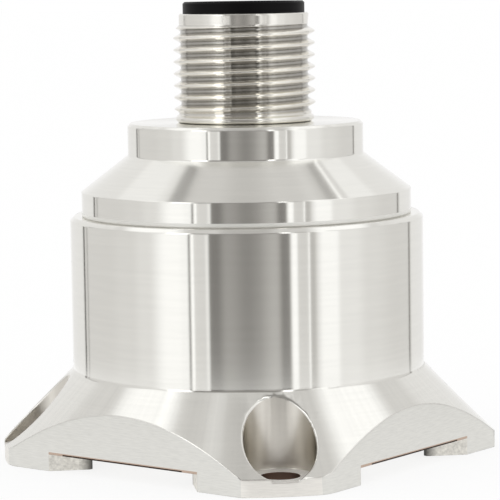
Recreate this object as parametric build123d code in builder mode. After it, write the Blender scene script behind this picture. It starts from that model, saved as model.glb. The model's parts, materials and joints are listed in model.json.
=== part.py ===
from build123d import *
import os

# Industrial vibration sensor with an M12 connector, in millimetres.
# The origin is the middle of the plane that the four feet stand on, +Z runs up the
# connector, and X and Y are square to the four flats, so the ears lie on the diagonals.

# Housing: flange, cone and body
flange_radius = 21.0
flange_rim_height = 1.4
body_radius = 15.0
body_top = 20.4
body_edge_chamfer = 0.35
flat_distance = 17.1
ear_corner_radius = 2.3
corner_radius = 0.25

# Underside: a round recess and a cross of channels leave one foot under each ear
relief_depth = 1.4
relief_radius = 15.25
foot_half_width = 6.55
foot_corner_radius = 0.4

# Four mounting holes for M3 cap screws
ear_count = 4
first_ear_angle = 45.0
bolt_circle_edge_distance = 2.75
screw_head_bore_radius = 2.9
screw_hole_radius = 1.6
screw_seat_height = 1.15
screw_bore_edge_break = 0.12

# Chamber in the housing: its radius follows from the standoffs
chamber_floor = 5.4
chamber_edge_chamfer = 0.3
tapped_hole_bottom = 2.4

# Cap: heights are above the body's top, and the ceiling lies below the collar's foot
cap_step = 1.0
cap_edge_rise = 2.05
collar_radius = 10.0
collar_rise = 5.1
collar_height = 2.7
collar_edge_chamfer = 0.25
cap_seam_chamfer = 0.1
cap_ceiling_drop = 0.5
cap_bore_step = 0.5
spigot_length = 2.4
spigot_clearance = 0.05

# Lathe-cut seal rings of square section, each in a groove as deep as the ring is thick
cap_seal_section = 1.0
cap_seal_drop = 1.2
connector_seal_section = 0.8
connector_seal_drop = 1.4
seal_groove_side_room = 0.15
seal_clearance = 0.02

# Connector shell, with an M12 x 1 thread outside and a plain lead-in band above it
thread_radius = 6.0
barrel_height = 9.15
lead_in_radius = 5.5
lead_in_height = 0.95
lead_in_step_height = 0.3
shell_edge_chamfer = 0.1
shoulder_radius = 5.9
shoulder_height = 0.65
stem_radius = 5.0
stem_clearance = 0.05
stem_overhang = 2.1
shell_bore_radius = 4.75
shell_bore_depth = 7.75
stem_bore_radius = 4.2
nut_across_flats = 14.0
nut_thickness = 1.7
nut_chamfer = 0.3

# Contact carrier and its four contacts
carrier_clearance = 0.05
carrier_rim_radius = 5.15
carrier_rim_height = 1.0
carrier_rim_chamfer = 0.15
carrier_overhang = 0.5
socket_radius = 4.25
socket_depth = 8.35
coding_key_width = 1.2
coding_key_depth = 0.6
coding_key_root = 0.3
coding_key_angle = 45.0
coding_key_drop = 0.75
contact_count = 4
contact_circle_radius = 2.6
contact_radius = 0.5
contact_tip_drop = 1.55
contact_tip_chamfer = 0.2
contact_step_depth = 1.0
contact_tail_radius = 0.35
contact_tail_overhang = 0.8
contact_clearance = 0.02

# Compression stack on the chamber floor, from the bottom up
stack_edge_step = 0.5
stack_hole_radius = 2.0
insulating_disc_thickness = 0.6
electrode_thickness = 0.2
piezo_thickness = 1.2
mass_height = 3.0
mass_edge_chamfer = 0.3
spring_washer_height = 0.4
spring_washer_gauge = 0.25
spring_washer_hole_radius = 1.6
sleeve_wall = 0.35
sleeve_clearance = 0.05
sleeve_end_gap = 0.1
preload_screw_radius = 1.5
preload_screw_end_gap = 0.3
preload_head_radius = 2.75
preload_head_height = 1.8
preload_socket_across_flats = 2.0
preload_socket_depth = 1.0
thread_clearance = 0.05
tab_width = 1.2
tab_mass_gap = 0.5
tab_slot_room = 0.2
tab_solder_length = 0.5
lower_tab_angle = 0.0
middle_tab_angle = 120.0
upper_tab_angle = 240.0

# Shield can over the stack
can_tab_gap = 1.0
can_wall = 0.3
can_headroom = 0.4
can_edge_chamfer = 0.5

# Amplifier board on three standoffs
board_thickness = 1.0
board_wall_gap = 0.6
board_gap_over_can = 0.7
standoff_count = 3
first_standoff_angle = 60.0
standoff_circle_radius = 9.7
standoff_radius = 1.5
standoff_wall_gap = 0.8
standoff_can_gap = 0.2
board_screw_radius = 0.8
board_screw_hole_radius = 0.9
board_screw_length = 3.5
board_screw_end_gap = 0.5
board_screw_head_radius = 1.4
board_screw_head_height = 0.9
board_screw_slot_width = 0.4
board_screw_slot_depth = 0.4
amplifier_chip_size = (4.9, 3.9, 1.4)
amplifier_chip_place = (0.35, 3.9)
capacitor_size = (2.0, 1.25, 1.2)
capacitor_spacing = 2.4
capacitor_count = 3
capacitor_place = (4.0, 0.4)

# Supply board on the contact tails, and the header with square pins between the two boards
supply_board_edge_gap = 0.5
supply_board_drop = 2.2
supply_board_thickness = 0.8
tail_hole_radius = 0.4
regulator_chip_size = (2.9, 1.6, 1.1)
regulator_chip_place = (0.0, 6.6)
header_pin_count = 4
header_pitch = 1.27
header_pin_width = 0.46
header_hole_width = 0.56
header_place = (2.2, -5.0)
header_block_width = 2.2
header_block_end_room = 0.6
header_pin_overhang = 0.5

# Radii that follow from the sizes above
cut_reach = 2 * flange_radius
bolt_circle_radius = flange_radius - bolt_circle_edge_distance
cap_radius = body_radius - cap_step
chamber_radius = standoff_circle_radius + standoff_radius + standoff_wall_gap
board_radius = chamber_radius - board_wall_gap
can_radius = standoff_circle_radius - standoff_radius - standoff_can_gap
tab_outer_radius = can_radius - can_wall - can_tab_gap
tab_inner_radius = tab_outer_radius - electrode_thickness
mass_radius = tab_inner_radius - tab_mass_gap
insulating_disc_radius = mass_radius
stack_radius = mass_radius - stack_edge_step
spigot_radius = chamber_radius - spigot_clearance
cap_bore_radius = collar_radius - cap_bore_step
supply_board_radius = cap_bore_radius - supply_board_edge_gap
cap_hole_radius = stem_radius + stem_clearance
cap_seal_outer_radius = chamber_radius - seal_clearance
connector_seal_inner_radius = stem_radius + seal_clearance

# Heights that follow from the sizes above
body_bottom = flange_rim_height + flange_radius - body_radius
cap_edge_height = body_top + cap_edge_rise
collar_bottom = body_top + collar_rise
collar_top = collar_bottom + collar_height
cap_ceiling = collar_bottom - cap_ceiling_drop
spigot_bottom = body_top - spigot_length
cap_seal_height = body_top - cap_seal_drop
connector_seal_height = collar_top - connector_seal_drop
shell_top = collar_top + barrel_height
shell_seat_height = shell_top - shell_bore_depth
stem_bottom = cap_ceiling - stem_overhang
thread_bottom = collar_top + shoulder_height + thread_radius - shoulder_radius
lead_in_bottom = shell_top - lead_in_height
carrier_top = shell_top + carrier_rim_height
carrier_bottom = stem_bottom - carrier_overhang
socket_floor = carrier_top - socket_depth
coding_key_top = carrier_top - coding_key_drop
contact_tip_height = carrier_top - contact_tip_drop
contact_step_height = socket_floor - contact_step_depth
supply_board_bottom = carrier_bottom - supply_board_drop
contact_tail_bottom = supply_board_bottom - contact_tail_overhang
lower_electrode_bottom = chamber_floor + insulating_disc_thickness
lower_piezo_bottom = lower_electrode_bottom + electrode_thickness
middle_electrode_bottom = lower_piezo_bottom + piezo_thickness
upper_piezo_bottom = middle_electrode_bottom + electrode_thickness
upper_electrode_bottom = upper_piezo_bottom + piezo_thickness
mass_bottom = upper_electrode_bottom + electrode_thickness
mass_top = mass_bottom + mass_height
preload_head_bottom = mass_top + spring_washer_height
preload_head_top = preload_head_bottom + preload_head_height
can_top = preload_head_top + can_headroom + can_wall
board_bottom = can_top + board_gap_over_can
board_top = board_bottom + board_thickness
tab_top = board_top + tab_solder_length
supply_board_top = supply_board_bottom + supply_board_thickness
header_length = header_pitch * (header_pin_count - 1)


def ring_z(outer_radius, inner_radius, bottom, top):
    """A plain ring about the Z axis, from one height to another."""
    with BuildPart() as ring:
        with BuildSketch(Plane.XY.offset(bottom)):
            Circle(outer_radius)
            Circle(inner_radius, mode=Mode.SUBTRACT)
        extrude(amount=top - bottom)
    return ring


def electrode_z(bottom, tab_angle):
    """A thin contact ring whose tab runs outwards and then up to the amplifier board."""
    arm_inner_radius = (stack_hole_radius + stack_radius) / 2
    tab_plane = Plane.XY.offset(bottom).rotated((0, 0, tab_angle))
    with BuildPart() as electrode:
        with BuildSketch(Plane.XY.offset(bottom)):
            Circle(stack_radius)
            Circle(stack_hole_radius, mode=Mode.SUBTRACT)
        extrude(amount=electrode_thickness)
        with BuildSketch(tab_plane):
            with Locations(((arm_inner_radius + tab_outer_radius) / 2, 0)):
                Rectangle(tab_outer_radius - arm_inner_radius, tab_width)
        extrude(amount=electrode_thickness)
        with BuildSketch(tab_plane):
            with Locations(((tab_inner_radius + tab_outer_radius) / 2, 0)):
                Rectangle(electrode_thickness, tab_width)
        extrude(amount=tab_top - bottom)
    return electrode


def tab_slot_places(bottom):
    """Where the three electrode tabs pass through a sheet, as places in its plane."""
    tab_middle = (tab_inner_radius + tab_outer_radius) / 2
    places = []
    for tab_angle in (lower_tab_angle, middle_tab_angle, upper_tab_angle):
        places.append(Plane.XY.offset(bottom).location * Rotation(0, 0, tab_angle) * Pos(tab_middle, 0, 0))
    return places


def save(piece, name):
    """Labels a finished piece and writes it under its own name."""
    piece.part.label = name
    export_step(piece.part, f"parts/{name}.step")
    print(f"{name}: {piece.part.volume:.2f} mm3")


os.makedirs("parts", exist_ok=True)

# Housing: one turned and milled piece. A 45 degree cone falls from the body to the
# flange rim, four flats cut that cone, and each ear has a counterbored hole that
# breaks out through the cone and just notches the rim. Seen from outside, the right-hand
# corner of each ear is rounded and the left-hand one is sharp.
with BuildPart() as base_housing:
    with BuildSketch(Plane.XZ) as housing_section:
        with BuildLine():
            Polyline(
                (0, 0),
                (flange_radius, 0),
                (flange_radius, flange_rim_height),
                (body_radius, body_bottom),
                (body_radius, body_top),
                (0, body_top),
                close=True,
            )
        make_face()
        fillet(housing_section.vertices().sort_by_distance((body_radius, body_bottom))[0], corner_radius)
        chamfer(housing_section.vertices().sort_by_distance((body_radius, body_top))[0], body_edge_chamfer)
    revolve(axis=Axis.Z)
    with BuildSketch() as flange_outline:
        Circle(flange_radius)
        Rectangle(2 * flat_distance, 2 * flat_distance, mode=Mode.INTERSECT)
        right_hand_corners = flange_outline.vertices().filter_by(
            lambda corner: corner.X * corner.Y * (abs(corner.Y) - abs(corner.X)) > 0
        )
        fillet(right_hand_corners, ear_corner_radius)
    extrude(amount=body_top, mode=Mode.INTERSECT)
    with BuildSketch() as relief:
        Circle(cut_reach)
        for ear_line in (first_ear_angle, first_ear_angle + 90):
            Rectangle(2 * cut_reach, 2 * foot_half_width, rotation=ear_line, mode=Mode.SUBTRACT)
        Circle(relief_radius)
        corners_by_distance = relief.vertices().sort_by(
            lambda corner: abs(corner.center().length - relief_radius)
        )
        fillet(corners_by_distance[: 2 * ear_count], foot_corner_radius)
    extrude(amount=relief_depth, mode=Mode.SUBTRACT)
    with BuildSketch(Plane.XY.offset(chamber_floor)):
        Circle(chamber_radius)
    extrude(amount=body_top - chamber_floor, mode=Mode.SUBTRACT)
    chamber_edge = base_housing.edges().filter_by(GeomType.CIRCLE).group_by(Axis.Z)[-1]
    chamfer(chamber_edge.sort_by(SortBy.RADIUS)[0], chamber_edge_chamfer)
    with Locations(Plane.XY.offset(body_bottom)):
        with PolarLocations(bolt_circle_radius, ear_count, start_angle=first_ear_angle):
            CounterBoreHole(
                radius=screw_hole_radius,
                counter_bore_radius=screw_head_bore_radius,
                counter_bore_depth=body_bottom - screw_seat_height,
                depth=2 * body_bottom,
            )
    bore_rims = base_housing.edges().filter_by(GeomType.BSPLINE).group_by(SortBy.LENGTH)[-1]
    chamfer(bore_rims, screw_bore_edge_break)
    with Locations(Plane.XY.offset(chamber_floor)):
        Hole(preload_screw_radius + thread_clearance, depth=chamber_floor - tapped_hole_bottom)
save(base_housing, "base_housing")

# Cap: a turned shell whose spigot closes the chamber and whose collar carries the connector
with BuildPart() as cap:
    with BuildSketch(Plane.XZ) as cap_section:
        with BuildLine():
            Polyline(
                (cap_hole_radius, cap_ceiling),
                (cap_hole_radius, collar_top),
                (collar_radius - collar_edge_chamfer, collar_top),
                (collar_radius, collar_top - collar_edge_chamfer),
                (collar_radius, collar_bottom),
                (cap_radius, cap_edge_height),
                (cap_radius, body_top + cap_seam_chamfer),
                (cap_radius - cap_seam_chamfer, body_top),
                (spigot_radius, body_top),
                (spigot_radius, spigot_bottom),
                (cap_bore_radius, spigot_bottom),
                (cap_bore_radius, cap_ceiling),
                close=True,
            )
        make_face()
        fillet(cap_section.vertices().sort_by_distance((collar_radius, collar_bottom))[0], corner_radius)
    revolve(axis=Axis.Z)
    with BuildSketch(Plane.XZ):
        with Locations((spigot_radius - cap_seal_section / 2, cap_seal_height)):
            Rectangle(
                cap_seal_section + 2 * (spigot_clearance - seal_clearance),
                cap_seal_section + 2 * seal_groove_side_room,
            )
        with Locations((cap_hole_radius + connector_seal_section / 2, connector_seal_height)):
            Rectangle(
                connector_seal_section + 2 * (spigot_clearance + seal_clearance),
                connector_seal_section + 2 * seal_groove_side_room,
            )
    revolve(axis=Axis.Z, mode=Mode.SUBTRACT)
save(cap, "cap")

# Seal rings: one in the spigot's groove, one round the connector's stem
cap_seal_ring = ring_z(
    cap_seal_outer_radius,
    cap_seal_outer_radius - cap_seal_section,
    cap_seal_height - cap_seal_section / 2,
    cap_seal_height + cap_seal_section / 2,
)
save(cap_seal_ring, "cap_seal_ring")
connector_seal_ring = ring_z(
    connector_seal_inner_radius + connector_seal_section,
    connector_seal_inner_radius,
    connector_seal_height - connector_seal_section / 2,
    connector_seal_height + connector_seal_section / 2,
)
save(connector_seal_ring, "connector_seal_ring")

# Connector shell: shoulder on the collar, threaded barrel above it and a stem that
# passes through the cap to its nut
with BuildPart() as connector_shell:
    with BuildSketch(Plane.XZ):
        with BuildLine():
            Polyline(
                (stem_bore_radius, stem_bottom),
                (stem_radius, stem_bottom),
                (stem_radius, collar_top),
                (shoulder_radius, collar_top),
                (shoulder_radius, collar_top + shoulder_height),
                (thread_radius, thread_bottom),
                (thread_radius, lead_in_bottom - lead_in_step_height),
                (lead_in_radius, lead_in_bottom),
                (lead_in_radius, shell_top - shell_edge_chamfer),
                (lead_in_radius - shell_edge_chamfer, shell_top),
                (shell_bore_radius, shell_top),
                (shell_bore_radius, shell_seat_height),
                (stem_bore_radius, shell_seat_height),
                close=True,
            )
        make_face()
    revolve(axis=Axis.Z)
save(connector_shell, "connector_shell")

# Nut on the stem, against the cap's ceiling
with BuildPart() as connector_nut:
    with BuildSketch(Plane.XY.offset(cap_ceiling - nut_thickness)):
        RegularPolygon(nut_across_flats / 2, 6, major_radius=False)
        Circle(cap_hole_radius, mode=Mode.SUBTRACT)
    extrude(amount=nut_thickness)
    nut_bore_edges = connector_nut.edges().filter_by(GeomType.CIRCLE)
    chamfer(nut_bore_edges.sort_by(Axis.Z)[0], nut_chamfer)
save(connector_nut, "connector_nut")

# Contact carrier: a moulded insulator with a rim on the shell's end face
with BuildPart() as contact_carrier:
    with BuildSketch(Plane.XZ):
        with BuildLine():
            Polyline(
                (0, carrier_bottom),
                (stem_bore_radius - carrier_clearance, carrier_bottom),
                (stem_bore_radius - carrier_clearance, shell_seat_height),
                (shell_bore_radius - carrier_clearance, shell_seat_height),
                (shell_bore_radius - carrier_clearance, shell_top),
                (carrier_rim_radius, shell_top),
                (carrier_rim_radius, carrier_top - carrier_rim_chamfer),
                (carrier_rim_radius - carrier_rim_chamfer, carrier_top),
                (socket_radius, carrier_top),
                (socket_radius, socket_floor),
                (0, socket_floor),
                close=True,
            )
        make_face()
    revolve(axis=Axis.Z)
    with BuildSketch(Plane.XY.offset(socket_floor).rotated((0, 0, coding_key_angle))):
        with Locations((socket_radius + (coding_key_root - coding_key_depth) / 2, 0)):
            Rectangle(coding_key_depth + coding_key_root, coding_key_width)
    extrude(amount=coding_key_top - socket_floor)
    with Locations(Plane.XY.offset(socket_floor)):
        with PolarLocations(contact_circle_radius, contact_count):
            CounterBoreHole(
                radius=contact_tail_radius + contact_clearance,
                counter_bore_radius=contact_radius + contact_clearance,
                counter_bore_depth=socket_floor - contact_step_height,
                depth=socket_floor - carrier_bottom,
            )
save(contact_carrier, "contact_carrier")

# Four contacts, each a turned pin with a thinner tail that solders into the supply board
for contact_number in range(contact_count):
    contact_angle = 360 / contact_count * contact_number
    contact_foot = Plane.XY.rotated((0, 0, contact_angle)).location * Pos(contact_circle_radius, 0, 0)
    with BuildPart() as contact_pin:
        with BuildSketch(Plane(contact_foot).offset(contact_tail_bottom)):
            Circle(contact_tail_radius)
        extrude(amount=contact_step_height - contact_tail_bottom)
        with BuildSketch(Plane(contact_foot).offset(contact_step_height)):
            Circle(contact_radius)
        extrude(amount=contact_tip_height - contact_step_height)
        chamfer(contact_pin.edges().filter_by(GeomType.CIRCLE).sort_by(Axis.Z)[-1], contact_tip_chamfer)
    save(contact_pin, f"contact_pin_{contact_number + 1}")

# Compression stack: insulator, three electrodes, two piezo rings and the seismic mass
insulating_disc = ring_z(
    insulating_disc_radius, stack_hole_radius, chamber_floor, lower_electrode_bottom
)
save(insulating_disc, "insulating_disc")
lower_electrode = electrode_z(lower_electrode_bottom, lower_tab_angle)
save(lower_electrode, "lower_electrode")
lower_piezo_ring = ring_z(
    stack_radius, stack_hole_radius, lower_piezo_bottom, middle_electrode_bottom
)
save(lower_piezo_ring, "lower_piezo_ring")
middle_electrode = electrode_z(middle_electrode_bottom, middle_tab_angle)
save(middle_electrode, "middle_electrode")
upper_piezo_ring = ring_z(
    stack_radius, stack_hole_radius, upper_piezo_bottom, upper_electrode_bottom
)
save(upper_piezo_ring, "upper_piezo_ring")
upper_electrode = electrode_z(upper_electrode_bottom, upper_tab_angle)
save(upper_electrode, "upper_electrode")

with BuildPart() as seismic_mass:
    with BuildSketch(Plane.XY.offset(mass_bottom)):
        Circle(mass_radius)
        Circle(stack_hole_radius, mode=Mode.SUBTRACT)
    extrude(amount=mass_height)
    mass_rim_edges = seismic_mass.edges().filter_by(
        lambda edge: edge.geom_type == GeomType.CIRCLE and edge.radius > stack_hole_radius
    )
    chamfer(mass_rim_edges, mass_edge_chamfer)
save(seismic_mass, "seismic_mass")

insulating_sleeve = ring_z(
    stack_hole_radius - sleeve_clearance,
    stack_hole_radius - sleeve_clearance - sleeve_wall,
    chamber_floor,
    mass_top - sleeve_end_gap,
)
save(insulating_sleeve, "insulating_sleeve")

# Spring washer: a coned ring that bears on the mass at its rim and on the screw head
# at its hole
with BuildPart() as spring_washer:
    with BuildSketch(Plane.XZ):
        with BuildLine():
            Polyline(
                (spring_washer_hole_radius, preload_head_bottom - spring_washer_gauge),
                (preload_head_radius, mass_top),
                (preload_head_radius, mass_top + spring_washer_gauge),
                (spring_washer_hole_radius, preload_head_bottom),
                close=True,
            )
        make_face()
    revolve(axis=Axis.Z)
save(spring_washer, "spring_washer")

with BuildPart() as preload_screw:
    with BuildSketch(Plane.XY.offset(tapped_hole_bottom + preload_screw_end_gap)):
        Circle(preload_screw_radius)
    extrude(amount=preload_head_bottom - tapped_hole_bottom - preload_screw_end_gap)
    with BuildSketch(Plane.XY.offset(preload_head_bottom)):
        Circle(preload_head_radius)
    extrude(amount=preload_head_height)
    with BuildSketch(Plane.XY.offset(preload_head_top)):
        RegularPolygon(preload_socket_across_flats / 2, 6, major_radius=False)
    extrude(amount=-preload_socket_depth, mode=Mode.SUBTRACT)
save(preload_screw, "preload_screw")

# Shield can: a drawn cup, mouth down on the chamber floor, with a slot for each tab
with BuildPart() as shield_can:
    with BuildSketch(Plane.XY.offset(chamber_floor)):
        Circle(can_radius)
    extrude(amount=can_top - chamber_floor)
    chamfer(shield_can.edges().filter_by(GeomType.CIRCLE).sort_by(Axis.Z)[-1], can_edge_chamfer)
    with BuildSketch(Plane.XY.offset(chamber_floor)):
        Circle(can_radius - can_wall)
    extrude(amount=can_top - can_wall - chamber_floor, mode=Mode.SUBTRACT)
    with Locations(*tab_slot_places(can_top - can_wall / 2)):
        Box(
            electrode_thickness + 2 * tab_slot_room,
            tab_width + 2 * tab_slot_room,
            2 * can_wall,
            mode=Mode.SUBTRACT,
        )
save(shield_can, "shield_can")

# Standoffs from the chamber floor to the amplifier board
with BuildPart() as board_standoffs:
    with BuildSketch(Plane.XY.offset(chamber_floor)):
        with PolarLocations(standoff_circle_radius, standoff_count, start_angle=first_standoff_angle):
            Circle(standoff_radius)
    extrude(amount=board_bottom - chamber_floor)
    with Locations(Plane.XY.offset(board_bottom)):
        with PolarLocations(standoff_circle_radius, standoff_count, start_angle=first_standoff_angle):
            Hole(
                board_screw_radius + thread_clearance,
                depth=board_screw_length - board_thickness + board_screw_end_gap,
            )
save(board_standoffs, "board_standoffs")

with BuildPart() as amplifier_board:
    with BuildSketch(Plane.XY.offset(board_bottom)):
        Circle(board_radius)
        with PolarLocations(standoff_circle_radius, standoff_count, start_angle=first_standoff_angle):
            Circle(board_screw_hole_radius, mode=Mode.SUBTRACT)
        with Locations(header_place):
            with GridLocations(header_pitch, 0, header_pin_count, 1):
                Rectangle(header_hole_width, header_hole_width, mode=Mode.SUBTRACT)
    extrude(amount=board_thickness)
    with Locations(*tab_slot_places(board_bottom + board_thickness / 2)):
        Box(
            electrode_thickness + 2 * tab_slot_room,
            tab_width + 2 * tab_slot_room,
            2 * board_thickness,
            mode=Mode.SUBTRACT,
        )
save(amplifier_board, "amplifier_board")

with BuildPart() as board_screws:
    with BuildSketch(Plane.XY.offset(board_top)):
        with PolarLocations(standoff_circle_radius, standoff_count, start_angle=first_standoff_angle):
            Circle(board_screw_radius)
    extrude(amount=-board_screw_length)
    with BuildSketch(Plane.XY.offset(board_top)):
        with PolarLocations(standoff_circle_radius, standoff_count, start_angle=first_standoff_angle):
            Circle(board_screw_head_radius)
    extrude(amount=board_screw_head_height)
    with BuildSketch(Plane.XY.offset(board_top + board_screw_head_height)):
        with PolarLocations(standoff_circle_radius, standoff_count, start_angle=first_standoff_angle):
            Rectangle(2 * board_screw_head_radius + board_screw_slot_width, board_screw_slot_width)
    extrude(amount=-board_screw_slot_depth, mode=Mode.SUBTRACT)
save(board_screws, "board_screws")

# Parts on the amplifier board
with BuildPart() as amplifier_chip:
    with BuildSketch(Plane.XY.offset(board_top)):
        with Locations(amplifier_chip_place):
            Rectangle(amplifier_chip_size[0], amplifier_chip_size[1])
    extrude(amount=amplifier_chip_size[2])
save(amplifier_chip, "amplifier_chip")

with BuildPart() as filter_capacitors:
    with BuildSketch(Plane.XY.offset(board_top)):
        with Locations(capacitor_place):
            with GridLocations(0, capacitor_spacing, 1, capacitor_count):
                Rectangle(capacitor_size[0], capacitor_size[1])
    extrude(amount=capacitor_size[2])
save(filter_capacitors, "filter_capacitors")

# Header between the two boards
with BuildPart() as board_header:
    with BuildSketch(Plane.XY.offset(board_top)):
        with Locations(header_place):
            Rectangle(header_length + 2 * header_block_end_room, header_block_width)
            with GridLocations(header_pitch, 0, header_pin_count, 1):
                Rectangle(header_hole_width, header_hole_width, mode=Mode.SUBTRACT)
    extrude(amount=supply_board_bottom - board_top)
save(board_header, "board_header")

with BuildPart() as header_pins:
    with BuildSketch(Plane.XY.offset(board_bottom - header_pin_overhang)):
        with Locations(header_place):
            with GridLocations(header_pitch, 0, header_pin_count, 1):
                Rectangle(header_pin_width, header_pin_width)
    extrude(amount=supply_board_top - board_bottom + 2 * header_pin_overhang)
save(header_pins, "header_pins")

with BuildPart() as supply_board:
    with BuildSketch(Plane.XY.offset(supply_board_bottom)):
        Circle(supply_board_radius)
        with PolarLocations(contact_circle_radius, contact_count):
            Circle(tail_hole_radius, mode=Mode.SUBTRACT)
        with Locations(header_place):
            with GridLocations(header_pitch, 0, header_pin_count, 1):
                Rectangle(header_hole_width, header_hole_width, mode=Mode.SUBTRACT)
    extrude(amount=supply_board_thickness)
save(supply_board, "supply_board")

with BuildPart() as regulator_chip:
    with BuildSketch(Plane.XY.offset(supply_board_top)):
        with Locations(regulator_chip_place):
            Rectangle(regulator_chip_size[0], regulator_chip_size[1])
    extrude(amount=regulator_chip_size[2])
save(regulator_chip, "regulator_chip")
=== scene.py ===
"""The looks of an industrial vibration sensor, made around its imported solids.

Every length below is in millimetres unless its name says otherwise; MM turns it into metres.
The sensor's axis is Z, its feet stand at height 0, and its four ears lie on the diagonals.
"""

import json
import math

import bmesh
import bpy
import numpy as np
from bpy.props import FloatProperty, FloatVectorProperty, IntProperty, PointerProperty
from mathutils import Matrix, Vector


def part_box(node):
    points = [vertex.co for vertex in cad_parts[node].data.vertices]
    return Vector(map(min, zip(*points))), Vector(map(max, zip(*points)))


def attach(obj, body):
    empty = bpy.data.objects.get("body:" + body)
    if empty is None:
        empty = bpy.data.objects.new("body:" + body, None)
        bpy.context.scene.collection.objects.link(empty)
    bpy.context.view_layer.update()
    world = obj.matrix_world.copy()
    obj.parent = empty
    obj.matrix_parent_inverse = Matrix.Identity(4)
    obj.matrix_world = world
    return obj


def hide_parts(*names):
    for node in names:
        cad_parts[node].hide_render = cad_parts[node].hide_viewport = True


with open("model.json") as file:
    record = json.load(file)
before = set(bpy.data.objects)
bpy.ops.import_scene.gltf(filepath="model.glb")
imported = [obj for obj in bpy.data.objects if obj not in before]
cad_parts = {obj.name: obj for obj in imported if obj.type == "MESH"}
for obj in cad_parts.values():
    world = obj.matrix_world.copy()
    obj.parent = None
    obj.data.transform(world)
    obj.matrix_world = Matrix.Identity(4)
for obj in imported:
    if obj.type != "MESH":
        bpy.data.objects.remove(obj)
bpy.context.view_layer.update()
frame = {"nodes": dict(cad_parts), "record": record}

bl_info = {
    "name": "Vibration Sensor Looks",
    "version": (1, 0, 0),
    "blender": (4, 5, 0),
    "location": "View3D > Sidebar > Sensor",
    "description": "Finishes a turned vibration sensor: housing, cap, threaded connector and studio",
    "category": "Object",
}

MM = 0.001

# Places read from the frame
FEET_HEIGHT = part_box("base_housing")[0].z / MM
BODY_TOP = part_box("base_housing")[1].z / MM
FLAT_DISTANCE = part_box("base_housing")[1].x / MM
COLLAR_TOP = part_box("cap")[1].z / MM
SHELL_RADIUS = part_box("connector_shell")[1].x / MM
SHELL_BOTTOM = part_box("connector_shell")[0].z / MM
SHELL_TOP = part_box("connector_shell")[1].z / MM

# Sizes of the housing that its box doesn't show
RIM_RADIUS = 21.0
CONE_BOTTOM = 1.45
CONE_TOP = 7.2
EAR_COUNT = 4
FIRST_EAR_ANGLE = math.radians(45)
BOLT_CIRCLE_RADIUS = 18.25
SCREW_HEAD_BORE_RADIUS = 2.9
SCREW_HOLE_RADIUS = 1.6
RELIEF_DEPTH = 1.4
RELIEF_RADIUS = 15.25
FOOT_HALF_WIDTH = 6.55
RELIEF_HALF_SPAN = FLAT_DISTANCE - math.sqrt(2) * FOOT_HALF_WIDTH

# Sizes of the connector that the boxes don't show
SHOULDER_RADIUS = 5.9
SHOULDER_NECK_RADIUS = 5.62
SHOULDER_HEIGHT = 0.65
SHOULDER_POINTS = 9
STEM_RADIUS = 5.0
STEM_BORE_RADIUS = 4.2
SHELL_BORE_RADIUS = 4.75
SHELL_BORE_DEPTH = 7.75
SHELL_EDGE_BREAK = 0.1
CONTACT_COUNT = 4
LEAD_IN_RADIUS = 5.5
LEAD_IN_HEIGHT = 0.95
LEAD_IN_SLOPE_HEIGHT = 0.45
THREAD_ROOT_RADIUS = 5.42
THREAD_RUN_OUT = 0.5

# Finish of the cut metal. A drift is how fast a pattern of rings changes round the axis,
# against how fast it changes along the face. The seam band is the satin foot of the cap, a warm
# painted reflection of the broken edge over a painted shade line runs along the lower edge of
# each flat, and a painted shade's width is how far from its darkest place it fades out.
EDGE_BREAK = 0.18
EDGE_SAMPLES = 8
GROOVES_IN_PASS = 3
PASS_TONES = (0.98, 1.01)
RING_DRIFT = 0.06
BORE_DRIFT = 0.3
CONE_STREAKS = 220
SEAM_BAND = 0.38
SATIN_ROUGHNESS = 0.45
SATIN_METALLIC = 0.35
# A warm painted reflection of the broken edge, over a painted shade line
PAINTED_EDGE_REFLECTION_HEIGHT = 0.2
PAINTED_SHADE_LINE_HEIGHT = 0.12
PAINTED_SHADE_LINE_HALF_SPAN = 6.3
FOOT_SHADE_WIDTH = 1.4
THREAD_SHADE_WIDTH = 0.26

# Finish of the other materials, as shares of a grain's width and of a roughness
GRAIN_DEPTH = 0.05
BLOTCH_SWING = 0.2

# Smoothing. A normal is set straight away from an axis where its level part is long enough,
# lies nearly along that direction, by its cosine, and isn't too near the axis to tell.
SMOOTH_ANGLE = math.radians(40)
LEAST_LEVEL_PART = 0.05
NEARLY_ALONG = 0.998
NEAR_AXIS = 0.3
BORE_ROOM = 0.05
MERGE_DISTANCE = 1e-4
BORE_MAP = "bores"

# Places of the finishes in the housing's list of materials, and in the shell's
TURNED, FLAT, BORED, UNDERSIDE, CONE, DRILLED, RIM, SPOT_FACED, FOOT_WALL = range(9)
THREAD, BAND = range(2)

# What tells one kind of face from another. A lean is the upward part of its normal. OUTWARDS
# and STRAIGHT are how much of the normal points away from an axis, or at it. A room is how far
# off a face may lie, and an ear's corner reaches its depth inside the rim.
SQUARE_ON = 0.999
LEVEL_LEAN = 0.99
UPRIGHT_LEAN = 0.01
STEEP_LEAN = 0.5
CONE_LEANS = (0.6, 0.8)
OUTWARDS = 0.6
STRAIGHT = 0.9
PLACE_ROOM = 0.01
RIM_ROOM = 0.02
EAR_CORNER_DEPTH = 1.0

# The picture: a long lens a little above the cap, with one ear a little right of the middle
IMAGE_WIDTH_PX = 500
SENSOR_WIDTH = 36.0
FOCAL_LENGTH_PX = 2518.0
CAMERA_DISTANCE = 213.8
CAMERA_HEIGHT = 39.67
CAMERA_AZIMUTH = FIRST_EAR_ANGLE - math.radians(7.44)
CAMERA_YAW = math.radians(0.067)
CAMERA_PITCH = math.radians(-6.0)
CAMERA_ROLL = math.radians(0.845)
CAMERA_CLIP_START = 10.0
CAMERA_CLIP_END = 20000.0

# The floor: its half width, the white paper that reflections see and where that fades out, the
# share of its light that isn't lit by the room, and the width of the paper's fibres
FLOOR_REACH = 3000.0
WHITE_PAPER_RADIUS = 53.0
WHITE_PAPER_FADE = 8.0
WHITE_SHARE = 0.8
FIBRE_WIDTH = 2.0


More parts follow.
